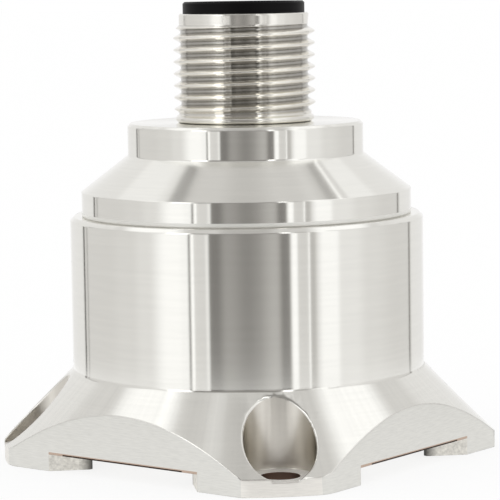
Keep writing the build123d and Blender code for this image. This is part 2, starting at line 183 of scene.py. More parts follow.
def linear(hex_colour):
    """Turns an sRGB hex colour, such as "C0C0C0", into linear red, green, blue and full alpha."""
    values = [int(hex_colour[i:i + 2], 16) / 255 for i in (0, 2, 4)]
    return [v / 12.92 if v <= 0.04045 else ((v + 0.055) / 1.055) ** 2.4 for v in values] + [1.0]


def add_node(tree, kind, inputs=None, **settings):
    """Adds a node, sets its attributes, and fills each input with a value or a link.

    An input is given by name, or by number where names repeat. A mix node's factor is number
    0, its plain values are 2 and 3, its vectors 4 and 5 and its colours 6 and 7, and the
    matching outputs are 0, 1 and 2."""
    node = tree.nodes.new(kind)
    for name, value in settings.items():
        setattr(node, name, value)
    for key, value in (inputs or {}).items():
        if isinstance(value, bpy.types.NodeSocket):
            tree.links.new(value, node.inputs[key])
        else:
            node.inputs[key].default_value = value
    return node


def new_material(name):
    """A node material and its empty tree."""
    material = bpy.data.materials.new(name)
    material.use_nodes = True
    material.node_tree.nodes.clear()
    return material, material.node_tree


def finish_material(material, tree, shader):
    """Links the shader to the material's output."""
    output = add_node(tree, "ShaderNodeOutputMaterial")
    tree.links.new(shader.outputs[0], output.inputs["Surface"])
    return material


def level_place(tree):
    """A point's place with its height taken out, and the length of that, which is the distance
    from the Z axis."""
    place = add_node(tree, "ShaderNodeTexCoord").outputs["Object"]
    level = add_node(tree, "ShaderNodeVectorMath", {0: place, 1: (1, 1, 0)}, operation="MULTIPLY")
    distance = add_node(tree, "ShaderNodeVectorMath", {0: level.outputs[0]}, operation="LENGTH")
    return level.outputs[0], distance.outputs["Value"]


def ring_coordinates(tree):
    """Object coordinates as rings about the Z axis: the third one is height less distance from
    the axis, which changes along every turned face. The other two are the level place times
    RING_DRIFT, so that a pattern changes slowly round a ring."""
    level, distance = level_place(tree)
    place = add_node(tree, "ShaderNodeTexCoord").outputs["Object"]
    parts = add_node(tree, "ShaderNodeSeparateXYZ", {0: place})
    along = add_node(
        tree, "ShaderNodeMath", {0: parts.outputs["Z"], 1: distance}, operation="SUBTRACT"
    )
    slow = add_node(tree, "ShaderNodeVectorMath", {0: level, "Scale": RING_DRIFT}, operation="SCALE")
    lift = add_node(tree, "ShaderNodeCombineXYZ", {"Z": along.outputs[0]})
    rings = add_node(
        tree, "ShaderNodeVectorMath", {0: slow.outputs[0], 1: lift.outputs[0]}, operation="ADD"
    )
    return rings.outputs[0]


def bore_coordinates(tree):
    """Object coordinates as rings up a bore: the height as it is and the level place times
    BORE_DRIFT."""
    place = add_node(tree, "ShaderNodeTexCoord").outputs["Object"]
    slowed = (BORE_DRIFT, BORE_DRIFT, 1.0)
    rings = add_node(tree, "ShaderNodeVectorMath", {0: place, 1: slowed}, operation="MULTIPLY")
    return rings.outputs[0]


def streak_tone(tree, streaks_in_turn, low, high):
    """A tone that changes with the angle about the Z axis alone, so that streaks run straight
    down a turned cone, as many in one turn as given."""
    level, _ = level_place(tree)
    away = add_node(tree, "ShaderNodeVectorMath", {0: level}, operation="NORMALIZE")
    streaks = add_node(
        tree,
        "ShaderNodeTexNoise",
        {
            "Vector": away.outputs[0],
            "Scale": streaks_in_turn / (2 * math.pi),
            "Detail": 4.0,
            "Roughness": 0.7,
        },
    )
    tone = add_node(
        tree,
        "ShaderNodeMapRange",
        {
            "Value": streaks.outputs[0],
            "From Min": 0.35,
            "From Max": 0.65,
            "To Min": low,
            "To Max": high,
        },
    )
    return tone.outputs[0]


def painted_depth_shade(tree, radius, width, low):
    """A painted shade: a tone that is low at a distance from the Z axis and climbs to 1 over a width
    outwards.
    """
    _, distance = level_place(tree)
    tone = add_node(
        tree,
        "ShaderNodeMapRange",
        {
            "Value": distance,
            "From Min": radius * MM,
            "From Max": (radius + width) * MM,
            "To Min": low,
            "To Max": 1.0,
        },
        interpolation_type="SMOOTHSTEP",
    )
    return tone.outputs[0]


def below_height(tree, height):
    """A mask, 1 on the part of a piece below a height."""
    place = add_node(tree, "ShaderNodeTexCoord").outputs["Object"]
    parts = add_node(tree, "ShaderNodeSeparateXYZ", {0: place})
    below = add_node(
        tree, "ShaderNodeMath", {0: parts.outputs["Z"], 1: height * MM}, operation="LESS_THAN"
    )
    return below.outputs[0]


def relief_edge(tree, line_height, half_span):
    """A mask, 1 on the strip of a flat as high as given along the upper edge of the relief, and
    no further from the edge's middle than half_span. On a flat the smaller of X and Y, without
    its sign, is the way from that middle."""
    place = add_node(tree, "ShaderNodeTexCoord").outputs["Object"]
    parts = add_node(tree, "ShaderNodeSeparateXYZ", {0: place})
    x, y = (
        add_node(tree, "ShaderNodeMath", {0: parts.outputs[axis]}, operation="ABSOLUTE").outputs[0]
        for axis in "XY"
    )
    along = add_node(tree, "ShaderNodeMath", {0: x, 1: y}, operation="MINIMUM")
    inside = add_node(
        tree, "ShaderNodeMath", {0: along.outputs[0], 1: half_span * MM}, operation="LESS_THAN"
    )
    below = below_height(tree, RELIEF_DEPTH + line_height)
    both = add_node(tree, "ShaderNodeMath", {0: inside.outputs[0], 1: below}, operation="MULTIPLY")
    return both.outputs[0]


def toned_colour(tree, colour, pattern, low, high, shade):
    """A colour times a tone between low and high that follows a pattern, and times the tone
    that shade makes, where there is one."""
    tone = add_node(
        tree,
        "ShaderNodeMapRange",
        {"Value": pattern, "From Min": 0.3, "From Max": 0.7, "To Min": low, "To Max": high},
    ).outputs[0]
    base = colour[:3]
    for factor in (tone, shade(tree)) if shade else (tone,):
        base = add_node(
            tree, "ShaderNodeVectorMath", {0: base, "Scale": factor}, operation="SCALE"
        ).outputs[0]
    return base


def cut_normal(tree, pattern, depth_mm, sharp=None):
    """The normal of cut metal: its edges are rounded as where a tool has broken them, but left
    as they are where the mask sharp is 1, and a pattern roughens it as deep as given."""
    normal = add_node(
        tree, "ShaderNodeBevel", {"Radius": EDGE_BREAK * MM}, samples=EDGE_SAMPLES
    ).outputs[0]
    if sharp is not None:
        plain = add_node(tree, "ShaderNodeNewGeometry").outputs["Normal"]
        normal = add_node(
            tree, "ShaderNodeMix", {0: sharp, 4: normal, 5: plain}, data_type="VECTOR"
        ).outputs[1]
    bump = add_node(
        tree,
        "ShaderNodeBump",
        {"Height": pattern, "Strength": 1.0, "Distance": depth_mm * MM, "Normal": normal},
    )
    return bump.outputs[0]


def turned_metal(
    name,
    colour,
    roughness,
    anisotropy,
    groove_mm,
    groove_depth_mm,
    bored=False,
    shade=None,
    satin_below=None,
):
    """Metal turned on a lathe: fine rings left by the tool, which stretch every reflection
    along the axis while it stays sharp around it. In a bore the rings run round the hole, along
    its UV map. Below the height satin_below the metal is brushed to a satin and its edge is
    left sharp. A lathe's last cut leaves rings about half as far apart as the ones drawn here,
    which are as fine as the picture can show."""
    material, tree = new_material(name)
    metallic = 1.0
    satin = None
    if satin_below is not None:
        satin = below_height(tree, satin_below)
        roughness = add_node(
            tree, "ShaderNodeMix", {0: satin, 2: roughness, 3: SATIN_ROUGHNESS}, data_type="FLOAT"
        ).outputs[0]
        metallic = add_node(
            tree, "ShaderNodeMix", {0: satin, 2: metallic, 3: SATIN_METALLIC}, data_type="FLOAT"
        ).outputs[0]
    rings = bore_coordinates(tree) if bored else ring_coordinates(tree)
    grooves = add_node(
        tree,
        "ShaderNodeTexNoise",
        {"Vector": rings, "Scale": 1 / (groove_mm * MM), "Detail": 3.0, "Roughness": 0.6},
    )
    pass_mm = GROOVES_IN_PASS * groove_mm
    passes = add_node(
        tree,
        "ShaderNodeTexNoise",
        {"Vector": rings, "Scale": 1 / (pass_mm * MM), "Detail": 2.0, "Roughness": 0.5},
    )
    if bored:
        tangent = add_node(tree, "ShaderNodeTangent", direction_type="UV_MAP", uv_map=BORE_MAP)
    else:
        tangent = add_node(tree, "ShaderNodeTangent", direction_type="RADIAL", axis="Z")
    shader = add_node(
        tree,
        "ShaderNodeBsdfPrincipled",
        {
            "Base Color": toned_colour(tree, colour, passes.outputs[0], *PASS_TONES, shade),
            "Metallic": metallic,
            "Roughness": roughness,
            "Anisotropic": anisotropy,
            "Anisotropic Rotation": 0.25,
            "Normal": cut_normal(tree, grooves.outputs[0], groove_depth_mm, satin),
            "Tangent": tangent.outputs[0],
        },
    )
    return finish_material(material, tree, shader)


def milled_metal(
    name,
    colour,
    roughness,
    line_mm,
    line_depth_mm,
    across,
    contrast=0.1,
    painted_edge_lines=(),
    shade=None,
):
    """Metal cut by an end mill: a matte face with fine lines, drawn out along the axes whose
    numbers in across are small. Each painted edge line, a height, a half span and a colour, runs
    along the relief's upper edge, the highest first: a painted reflection and a painted shade."""
    material, tree = new_material(name)
    place = add_node(tree, "ShaderNodeTexCoord").outputs["Object"]
    stretched = add_node(
        tree, "ShaderNodeVectorMath", {0: place, 1: across}, operation="MULTIPLY"
    ).outputs[0]
    lines = add_node(
        tree,
        "ShaderNodeTexNoise",
        {"Vector": stretched, "Scale": 1 / (line_mm * MM), "Detail": 3.0, "Roughness": 0.6},
    )
    base = toned_colour(tree, colour, lines.outputs[0], 1 - contrast, 1.0, shade)
    # Painted lines of reflection and shade along the relief's upper edge
    for line_height, half_span, painted_line_colour in painted_edge_lines:
        edge = relief_edge(tree, line_height, half_span)
        base = add_node(
            tree, "ShaderNodeMix", {0: edge, 6: base, 7: linear(painted_line_colour)}, data_type="RGBA"
        ).outputs[2]
    shader = add_node(
        tree,
        "ShaderNodeBsdfPrincipled",
        {
            "Base Color": base,
            "Metallic": 1.0,
            "Roughness": roughness,
            "Normal": cut_normal(tree, lines.outputs[0], line_depth_mm),
        },
    )
    return finish_material(material, tree, shader)


def moulded_plastic(name, colour, roughness, grain_mm, sheen=0.5):
    """Moulded plastic: a fine even grain from the mould under a soft sheen."""
    material, tree = new_material(name)
    place = add_node(tree, "ShaderNodeTexCoord").outputs["Object"]
    grain = add_node(
        tree, "ShaderNodeTexNoise", {"Vector": place, "Scale": 1 / (grain_mm * MM), "Detail": 2.0}
    )
    bump = add_node(
        tree,
        "ShaderNodeBump",
        {"Height": grain.outputs[0], "Strength": 0.4, "Distance": GRAIN_DEPTH * grain_mm * MM},
    )
    shader = add_node(
        tree,
        "ShaderNodeBsdfPrincipled",
        {
            "Base Color": colour,
            "Roughness": roughness,
            "IOR": 1.5,
            "Specular IOR Level": sheen,
            "Normal": bump.outputs[0],
        },
    )
    return finish_material(material, tree, shader)


def plain_metal(name, colour, roughness, grain_mm):
    """Rolled, plated or ground metal: an even sheen with faint blotches."""
    material, tree = new_material(name)
    place = add_node(tree, "ShaderNodeTexCoord").outputs["Object"]
    blotches = add_node(
        tree, "ShaderNodeTexNoise", {"Vector": place, "Scale": 1 / (grain_mm * MM), "Detail": 3.0}
    )
    rough = add_node(
        tree,
        "ShaderNodeMapRange",
        {
            "Value": blotches.outputs[0],
            "To Min": (1 - BLOTCH_SWING) * roughness,
            "To Max": (1 + BLOTCH_SWING) * roughness,
        },
    )
    shader = add_node(
        tree,
        "ShaderNodeBsdfPrincipled",
        {"Base Color": colour, "Metallic": 1.0, "Roughness": rough.outputs[0]},
    )
    return finish_material(material, tree, shader)


def read_rows(items, name, width=1, kind=float):
    """One attribute of every item of a mesh, with a row for each item where it is wider than 1."""
    values = np.empty(len(items) * width, kind)
    items.foreach_get(name, values)
    return values.reshape(-1, width) if width > 1 else values


def corner_places(mesh):
    """The number of each face corner's vertex, and the corner's place."""
    vertex_of = read_rows(mesh.loops, "vertex_index", kind=np.int32)
    return vertex_of, read_rows(mesh.vertices, "co", 3)[vertex_of] / MM


def screw_hole_centres():
    """The level places of the screw holes: one in each ear, evenly round the bolt circle."""
    angles = FIRST_EAR_ANGLE + 2 * math.pi * np.arange(EAR_COUNT) / EAR_COUNT
    return BOLT_CIRCLE_RADIUS * np.stack([np.cos(angles), np.sin(angles)], -1)


def corner_normals(mesh):
    """A normal for each face corner, smooth wherever the surface is.

    Around a point, faces that turn less than SMOOTH_ANGLE from a corner's own face are
    averaged by area. Where the result looks straight away from the Z axis or at it, or looks
    at a screw hole's axis from inside the hole, its level part is set exactly along that way."""
    corner_count = len(mesh.loops)
    face_of = np.repeat(np.arange(len(mesh.polygons)), 3)
    vertex_of, points = corner_places(mesh)
    normals = read_rows(mesh.polygons, "normal", 3)[face_of]
    areas = read_rows(mesh.polygons, "area")[face_of]

    order = np.argsort(vertex_of, kind="stable")
    starts = np.searchsorted(vertex_of[order], np.arange(len(mesh.vertices)))
    counts = np.diff(np.append(starts, corner_count))
    smooth = np.zeros_like(normals)
    limit = math.cos(SMOOTH_ANGLE)
    for step in range(counts.max()):
        other = order[(starts[vertex_of] + step) % corner_count]
        near = (step < counts[vertex_of]) & ((normals * normals[other]).sum(1) > limit)
        smooth += np.where(near, areas[other], 0)[:, None] * normals[other]
    smooth /= np.linalg.norm(smooth, axis=1)[:, None]

    level = np.hypot(smooth[:, 0], smooth[:, 1])
    for number, centre in enumerate([np.zeros(2), *screw_hole_centres()]):
        away = points[:, :2] - centre
        distance = np.hypot(away[:, 0], away[:, 1])
        away /= np.maximum(distance, NEAR_AXIS)[:, None]
        along = (smooth[:, :2] * away).sum(1)
        round_here = (
            (level > LEAST_LEVEL_PART)
            & (np.abs(along) > NEARLY_ALONG * level)
            & (distance > NEAR_AXIS)
        )
        if number:
            round_here &= (distance < SCREW_HEAD_BORE_RADIUS + BORE_ROOM) & (along < 0)
        turned = np.sign(along)[:, None] * away * level[:, None]
        smooth[:, :2] = np.where(round_here[:, None], turned, smooth[:, :2])
    return smooth


def lay_bore_map(mesh):
    """A UV map for the screw holes: u is the way round the nearest hole's axis, at the head
    bore's radius, and v is the height, in millimetres. A face's other corners are kept within
    half a turn of its first one."""
    _, points = corner_places(mesh)
    first = points.reshape(-1, 3, 3)[:, 0]
    quarter = np.floor(np.arctan2(first[:, 1], first[:, 0]) / (math.pi / 2)).astype(int)
    centres = screw_hole_centres()[quarter % EAR_COUNT].repeat(3, axis=0)
    away = points[:, :2] - centres
    turn = np.arctan2(away[:, 1], away[:, 0]).reshape(-1, 3)
    turn = turn[:, :1] + (turn - turn[:, :1] + math.pi) % (2 * math.pi) - math.pi
    layer = mesh.uv_layers.new(name=BORE_MAP)
    places = np.stack([SCREW_HEAD_BORE_RADIUS * turn.ravel(), points[:, 2]], -1)
    layer.data.foreach_set("uv", places.ravel())


def add_piece(mesh, name, replaced):
    """Links a mesh as a piece that rides on the root body in place of CAD nodes."""
    piece = bpy.data.objects.new(name, mesh)
    bpy.context.scene.collection.objects.link(piece)
    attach(piece, "root")
    for node in replaced:
        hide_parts(node)
    return piece


def smooth_copy(node, name):
    """A piece with a CAD node's own triangles, merged and given smooth corner normals."""
    mesh = frame["nodes"][node].data.copy()
    mesh.name = name
    work = bmesh.new()
    work.from_mesh(mesh)
    bmesh.ops.remove_doubles(work, verts=work.verts, dist=MERGE_DISTANCE * MM)
    work.to_mesh(mesh)
    work.free()
    mesh.materials.clear()
    mesh.shade_smooth()
    mesh.normals_split_custom_set(corner_normals(mesh))
    return add_piece(mesh, name, [node])


def grid_mesh(name, points):
    """A closed mesh of quads over a grid of points, rows by columns by three: each face joins
    four neighbours, and the last row and column are followed by the first."""
    rows, columns = points.shape[:2]
    i, j = np.meshgrid(np.arange(rows), np.arange(columns), indexing="ij")
    i_next = (i + 1) % rows
    j_next = (j + 1) % columns
    quads = np.stack(
        [i * columns + j, i * columns + j_next, i_next * columns + j_next, i_next * columns + j],
        -1,
    )
    mesh = bpy.data.meshes.new(name)
    mesh.vertices.add(rows * columns)
    mesh.vertices.foreach_set("co", (points * MM).ravel())
    mesh.loops.add(quads.size)
    mesh.loops.foreach_set("vertex_index", quads.ravel())
    mesh.polygons.add(quads.size // 4)
    mesh.polygons.foreach_set("loop_start", np.arange(0, quads.size, 4))
    mesh.update(calc_edges=True)
    mesh.validate()
    return mesh


def thread_radius(height, turn, settings):
    """The radius of a right-hand thread at a height and a turn, 0 to 1, about the axis.

    The way from the nearest crest, in pitches, is how far the height lies from a line that
    climbs one pitch a turn. From the crest's flat to the root's flat the radius falls by the
    thread's depth times a share of that way. The share is straight in part, and for the
    rounding's part it is an ease, three times its square less twice its cube."""
    phase = (height - settings.crest_height) / settings.pitch - turn
    way = np.abs((phase + 0.5) % 1.0 - 0.5)
    flank_start = settings.crest_flat / 2
    flank_end = 0.5 - settings.root_flat / 2
    share = np.clip((way - flank_start) / (flank_end - flank_start), 0, 1)
    ease = settings.rounding
    eased = (1 - ease) * share + ease * share * share * (3 - 2 * share)
    return SHELL_RADIUS - settings.depth * eased


def connector_shell_points(settings):
    """The shell's closed section carried round the axis, as a grid of heights by turns.

    The section climbs the stem, bulges over the shoulder by half a sine, follows the thread,
    and comes back down the bore. The threaded stretch takes its radius from thread_radius. It
    grows out of the shoulder's neck in step with the height over THREAD_RUN_OUT, and at its
    top it stays under a straight slope down to the plain band."""
    columns = settings.columns
    thread_bottom = COLLAR_TOP + SHOULDER_HEIGHT
    thread_top = SHELL_TOP - LEAD_IN_HEIGHT
    seat = SHELL_TOP - SHELL_BORE_DEPTH
    rows_in_thread = int((thread_top - thread_bottom) / settings.pitch * settings.rows_per_pitch)
    heights = np.linspace(thread_bottom, thread_top, rows_in_thread)
    turns = np.arange(columns) / columns
    z, t = np.meshgrid(heights, turns, indexing="ij")
    radii = thread_radius(z, t, settings)
    run_out = np.clip((z - thread_bottom) / THREAD_RUN_OUT, 0, 1)
    radii = SHOULDER_NECK_RADIUS + (radii - SHOULDER_NECK_RADIUS) * run_out
    slope = np.clip((thread_top - z) / LEAD_IN_SLOPE_HEIGHT, 0, 1)
    radii = np.minimum(radii, LEAD_IN_RADIUS + slope * (SHELL_RADIUS - LEAD_IN_RADIUS))

    share = np.linspace(0, 1, SHOULDER_POINTS)[:-1]
    bulge = (SHOULDER_RADIUS - SHOULDER_NECK_RADIUS) * np.sin(math.pi * share)
    shoulder = np.stack([SHOULDER_NECK_RADIUS + bulge, COLLAR_TOP + SHOULDER_HEIGHT * share], -1)
    stem = [(STEM_BORE_RADIUS, SHELL_BOTTOM), (STEM_RADIUS, SHELL_BOTTOM), (STEM_RADIUS, COLLAR_TOP)]
    below = np.concatenate([stem, shoulder])
    above = np.array([
        (LEAD_IN_RADIUS, SHELL_TOP - SHELL_EDGE_BREAK),
        (LEAD_IN_RADIUS - SHELL_EDGE_BREAK, SHELL_TOP),
        (SHELL_BORE_RADIUS, SHELL_TOP),
        (SHELL_BORE_RADIUS, seat),
        (STEM_BORE_RADIUS, seat),
    ])
    radius = np.concatenate([
        np.repeat(below[:, :1], columns, 1), radii, np.repeat(above[:, :1], columns, 1)
    ])
    height = np.concatenate([
        np.repeat(below[:, 1:], columns, 1), z, np.repeat(above[:, 1:], columns, 1)
    ])
    angle = 2 * math.pi * np.broadcast_to(turns, radius.shape)
    return np.stack([radius * np.cos(angle), radius * np.sin(angle), height], -1)


def shell_zones(mesh):
    """The finish of each face of the shell: thread, or band on the plain bands and inside."""
    height = read_rows(mesh.polygons, "center", 3)[:, 2] / MM
    threaded = (height > COLLAR_TOP + SHOULDER_HEIGHT) & (height < SHELL_TOP - LEAD_IN_HEIGHT)
    return np.where(threaded, THREAD, BAND).astype(np.int32)


def housing_zones(mesh):
    """The finish of each face of the housing.

    A face as far out as a flat that looks along X or Y is a flat, and so is an upright face
    near the rim that looks outwards, as on an ear's corners. One right at the rim that looks
    straight outwards is rim. A face with the slope of the flange's cone, between the cone's
    ends, is cone. What looks down is underside. A steep face lower than the relief that is
    none of these and doesn't look outwards is a foot wall. An upright face that looks at a
    screw hole's axis is bored, or drilled where the hole is narrow, and the floor of the head
    bore is spot faced. All the rest is turned."""
    centres = read_rows(mesh.polygons, "center", 3) / MM
    normals = read_rows(mesh.polygons, "normal", 3)
    lean = normals[:, 2]
    height = centres[:, 2]
    radius = np.hypot(centres[:, 0], centres[:, 1])
    outwards = (normals[:, :2] * centres[:, :2]).sum(1) / radius
    square_on = np.abs(normals[:, :2]).max(1) > SQUARE_ON
    flat = square_on & (np.abs(centres[:, :2]).max(1) > FLAT_DISTANCE - PLACE_ROOM)
    upright = np.abs(lean) < UPRIGHT_LEAN
    rim = upright & (radius > RIM_RADIUS - RIM_ROOM) & (outwards > STRAIGHT)
    ear_corner = upright & ~flat & (radius > RIM_RADIUS - EAR_CORNER_DEPTH) & (outwards > OUTWARDS)
    sloped = (lean > CONE_LEANS[0]) & (lean < CONE_LEANS[1]) & (outwards > OUTWARDS)
    down = lean < -STEEP_LEAN
    low = (np.abs(lean) < STEEP_LEAN) & (height < RELIEF_DEPTH) & ~flat & ~rim

    zones = np.full(len(mesh.polygons), TURNED, np.int32)
    zones[flat | ear_corner] = FLAT
    zones[rim] = RIM
    zones[sloped & (height > CONE_BOTTOM) & (height < CONE_TOP)] = CONE
    zones[down] = UNDERSIDE
    zones[low & (outwards < OUTWARDS)] = FOOT_WALL
    for centre in screw_hole_centres():
        away = centres[:, :2] - centre
        distance = np.hypot(away[:, 0], away[:, 1])
        inwards = -(normals[:, :2] * away).sum(1) / distance
        hole = upright & (inwards > STRAIGHT)
        zones[hole & (distance < SCREW_HEAD_BORE_RADIUS + PLACE_ROOM)] = BORED
        zones[hole & (distance < SCREW_HOLE_RADIUS + PLACE_ROOM)] = DRILLED
        zones[(distance < SCREW_HEAD_BORE_RADIUS) & (lean > LEVEL_LEAN)] = SPOT_FACED
    return zones


class SensorHousingSettings(bpy.types.PropertyGroup):
    """Finish of the turned faces of the housing and the cap."""

    colour: FloatVectorProperty(
        name="Metal",
        description="Colour of the turned aluminium",
        default=linear("F3F2ED"),
        size=4,
        min=0,
        max=1,
        subtype="COLOR",
    )
    roughness: FloatProperty(
        name="Roughness",
        description="Roughness of the turned faces",
        default=0.12,
        min=0,
        max=1,
        subtype="FACTOR",
    )
    groove: FloatProperty(
        name="Groove spacing",
        description="Spacing of the lathe's rings, in millimetres",
        default=0.12,
        min=0.02,
    )
    groove_depth: FloatProperty(
        name="Groove depth",
        description="Depth of the lathe's rings, in millimetres",
        default=0.0004,
        min=0,
    )


class SensorThreadSettings(bpy.types.PropertyGroup):
    """Sizes of the connector's thread, and its colour."""

    colour: FloatVectorProperty(
        name="Plating",
        description="Colour of the plated thread",
        default=linear("F5F2EB"),
        size=4,
        min=0,
        max=1,
        subtype="COLOR",
    )
    pitch: FloatProperty(
        name="Pitch",
        description="Climb of the thread in one turn, in millimetres",
        default=1.0,
        min=0.25,
    )
    depth: FloatProperty(
        name="Depth",
        description="From crest to root, in millimetres",
        default=0.61,
        min=0,
    )
    crest_height: FloatProperty(
        name="Crest height",
        description="Height of one crest at the +X side, in millimetres",
        default=32.7,
    )
    crest_flat: FloatProperty(
        name="Crest flat",
        description="Width of the crest, in pitches",
        default=0.08,
        min=0,
        max=0.4,
        subtype="FACTOR",
    )
    root_flat: FloatProperty(
        name="Root flat",
        description="Width of the root, in pitches",
        default=0.16,
        min=0,
        max=0.4,
        subtype="FACTOR",
    )
    rounding: FloatProperty(
        name="Rounding",
        description="How far crest and root are rounded",
        default=0.4,
        min=0,
        max=1,
        subtype="FACTOR",
    )
    columns: IntProperty(name="Columns", description="Points round one turn", default=160, min=24)
    rows_per_pitch: IntProperty(
        name="Rows", description="Points along one pitch", default=20, min=8
    )


def housing_finishes(settings):
    """The housing's materials, by their places in its list."""
    turning = {
        "colour": tuple(settings.colour),
        "roughness": settings.roughness,
        "anisotropy": 0.9,
        "groove_mm": settings.groove,
        "groove_depth_mm": settings.groove_depth,
    }
    fine_milling = {"line_mm": 0.1, "line_depth_mm": 0.001, "across": (0.1, 0.1, 1.0)}
    rough_milling = {
        "colour": linear("FFFCF4"),
        "roughness": 0.45,
        "line_mm": 0.3,
        "line_depth_mm": 0.03,
        "across": (1.0, 0.7, 1.0),
        "contrast": 0.3,
    }
    # A warm painted reflection of the broken edge, then a painted shade line under it
    painted_reflection_and_shade_lines = (
        (PAINTED_EDGE_REFLECTION_HEIGHT, RELIEF_HALF_SPAN, "C8B2A2"),
        (PAINTED_SHADE_LINE_HEIGHT, PAINTED_SHADE_LINE_HALF_SPAN, "3E3028"),
    )
    return {
        # Each bright or dark thing in the room becomes an upright bar, sharp at its sides
        TURNED: turned_metal("turned aluminium", **turning),
        # A matte grey with a satin sheen, and a warm painted reflection over a painted shade line at
        # its lower edge
        FLAT: milled_metal(
            "milled aluminium flats",
            linear("EBEAE5"),
            roughness=0.42,
            painted_edge_lines=painted_reflection_and_shade_lines,
            **fine_milling,
        ),
        # Duller than the body, with rings that run round the hole and blur its reflections
        BORED: turned_metal(
            "bored aluminium",
            linear("DCD8D0"),
            roughness=0.28,
            anisotropy=0.65,
            groove_mm=0.15,
            groove_depth_mm=0.0012,
            bored=True,
        ),
        # A coarse cutter's speckle, light and dark
        UNDERSIDE: milled_metal("rough milled underside", **rough_milling),
        # As glossy as the body, with faint streaks straight down the slope
        CONE: turned_metal(
            "turned aluminium cone",
            **turning,
            shade=lambda tree: streak_tone(tree, CONE_STREAKS, low=0.96, high=1.0),
        ),
        # A dark brown ring of painted shade, because a deep narrow hole sends little light back
        DRILLED: milled_metal(
            "drilled aluminium",
            linear("6E5A50"),
            roughness=0.5,
            line_mm=0.1,
            line_depth_mm=0.002,
            across=(1.0, 1.0, 0.2),
        ),
        # A clean matte edge, a little lighter than the flats
        RIM: milled_metal(
            "turned aluminium rim", linear("F8F5EF"), roughness=0.4, **fine_milling
        ),
        # As matte as frosted glass, so that the bore's floor is an even pale tone
        SPOT_FACED: milled_metal(
            "spot faced aluminium",
            linear("FFFDFA"),
            roughness=0.75,
            line_mm=0.1,
            line_depth_mm=0.001,
            across=(1.0, 1.0, 1.0),
        ),
        # The underside's speckle, darkened by painted shade towards the wall's inner end
        FOOT_WALL: milled_metal(
            "rough milled foot wall",
            **rough_milling,
            shade=lambda tree: painted_depth_shade(tree, RELIEF_RADIUS, FOOT_SHADE_WIDTH, low=0.05),
        ),
    }


class SENSOR_OT_housing(bpy.types.Operator):
    """Dress the housing and the cap as turned and milled aluminium"""

    bl_idname = "sensor.housing"
    bl_label = "Housing and cap"

    def execute(self, context):
        settings = context.scene.sensor_housing
        housing = smooth_copy("base_housing", "housing")
        finishes = housing_finishes(settings)
        for zone in sorted(finishes):
            housing.data.materials.append(finishes[zone])
        housing.data.polygons.foreach_set("material_index", housing_zones(housing.data))
        lay_bore_map(housing.data)
        cap = smooth_copy("cap", "turned_cap")
        # The body's gloss over a lighter satin band, which shows the joint as a thin pale line
        cap.data.materials.append(turned_metal(
            "turned aluminium cap",
            tuple(settings.colour),
            roughness=settings.roughness,
            anisotropy=0.9,
            groove_mm=settings.groove,
            groove_depth_mm=settings.groove_depth,
            satin_below=BODY_TOP + SEAM_BAND,
        ))
        return {"FINISHED"}


class SENSOR_OT_connector(bpy.types.Operator):
    """Make the threaded connector shell and dress its carrier and contacts"""

    bl_idname = "sensor.connector"
    bl_label = "Connector"

    def execute(self, context):
        settings = context.scene.sensor_thread
        mesh = grid_mesh("threaded_shell", connector_shell_points(settings))
        work = bmesh.new()
        work.from_mesh(mesh)
        bmesh.ops.recalc_face_normals(work, faces=work.faces)
        work.to_mesh(mesh)
        work.free()
        mesh.shade_smooth()
        mesh.set_sharp_from_angle(angle=SMOOTH_ANGLE)
        shell = add_piece(mesh, "threaded_shell", ["connector_shell"])
        # A warm mirror whose crests flash and whose roots are darkened by painted shade
        mesh.materials.append(turned_metal(
            "nickel plated brass thread",
            tuple(settings.colour),
            roughness=0.08,
            anisotropy=0.3,
            groove_mm=0.1,
            groove_depth_mm=0.0003,
            shade=lambda tree: painted_depth_shade(tree, THREAD_ROOT_RADIUS, THREAD_SHADE_WIDTH, low=0.5),
        ))
        # The same plating over a plainer cut, with soft upright bars
        mesh.materials.append(turned_metal(
            "nickel plated brass band",
            linear("F2F0EA"),
            roughness=0.18,
            anisotropy=0.5,
            groove_mm=0.1,
            groove_depth_mm=0.0005,
        ))
        mesh.polygons.foreach_set("material_index", shell_zones(mesh))
        carrier = smooth_copy("contact_carrier", "socket_insert")
        # Nearly black, with hardly a highlight
        carrier.data.materials.append(moulded_plastic(
            "moulded black nylon", linear("0A090A"), roughness=0.45, grain_mm=0.15, sheen=0.1
        ))
        # A warm yellow with clear highlights
        gold = plain_metal(
            "gold flashed contact", linear("E0B864"), roughness=0.2, grain_mm=0.3
        )
        for number in range(1, CONTACT_COUNT + 1):
            contact = smooth_copy(f"contact_pin_{number}", f"gold_contact_{number}")
            contact.data.materials.append(gold)
        return {"FINISHED"}


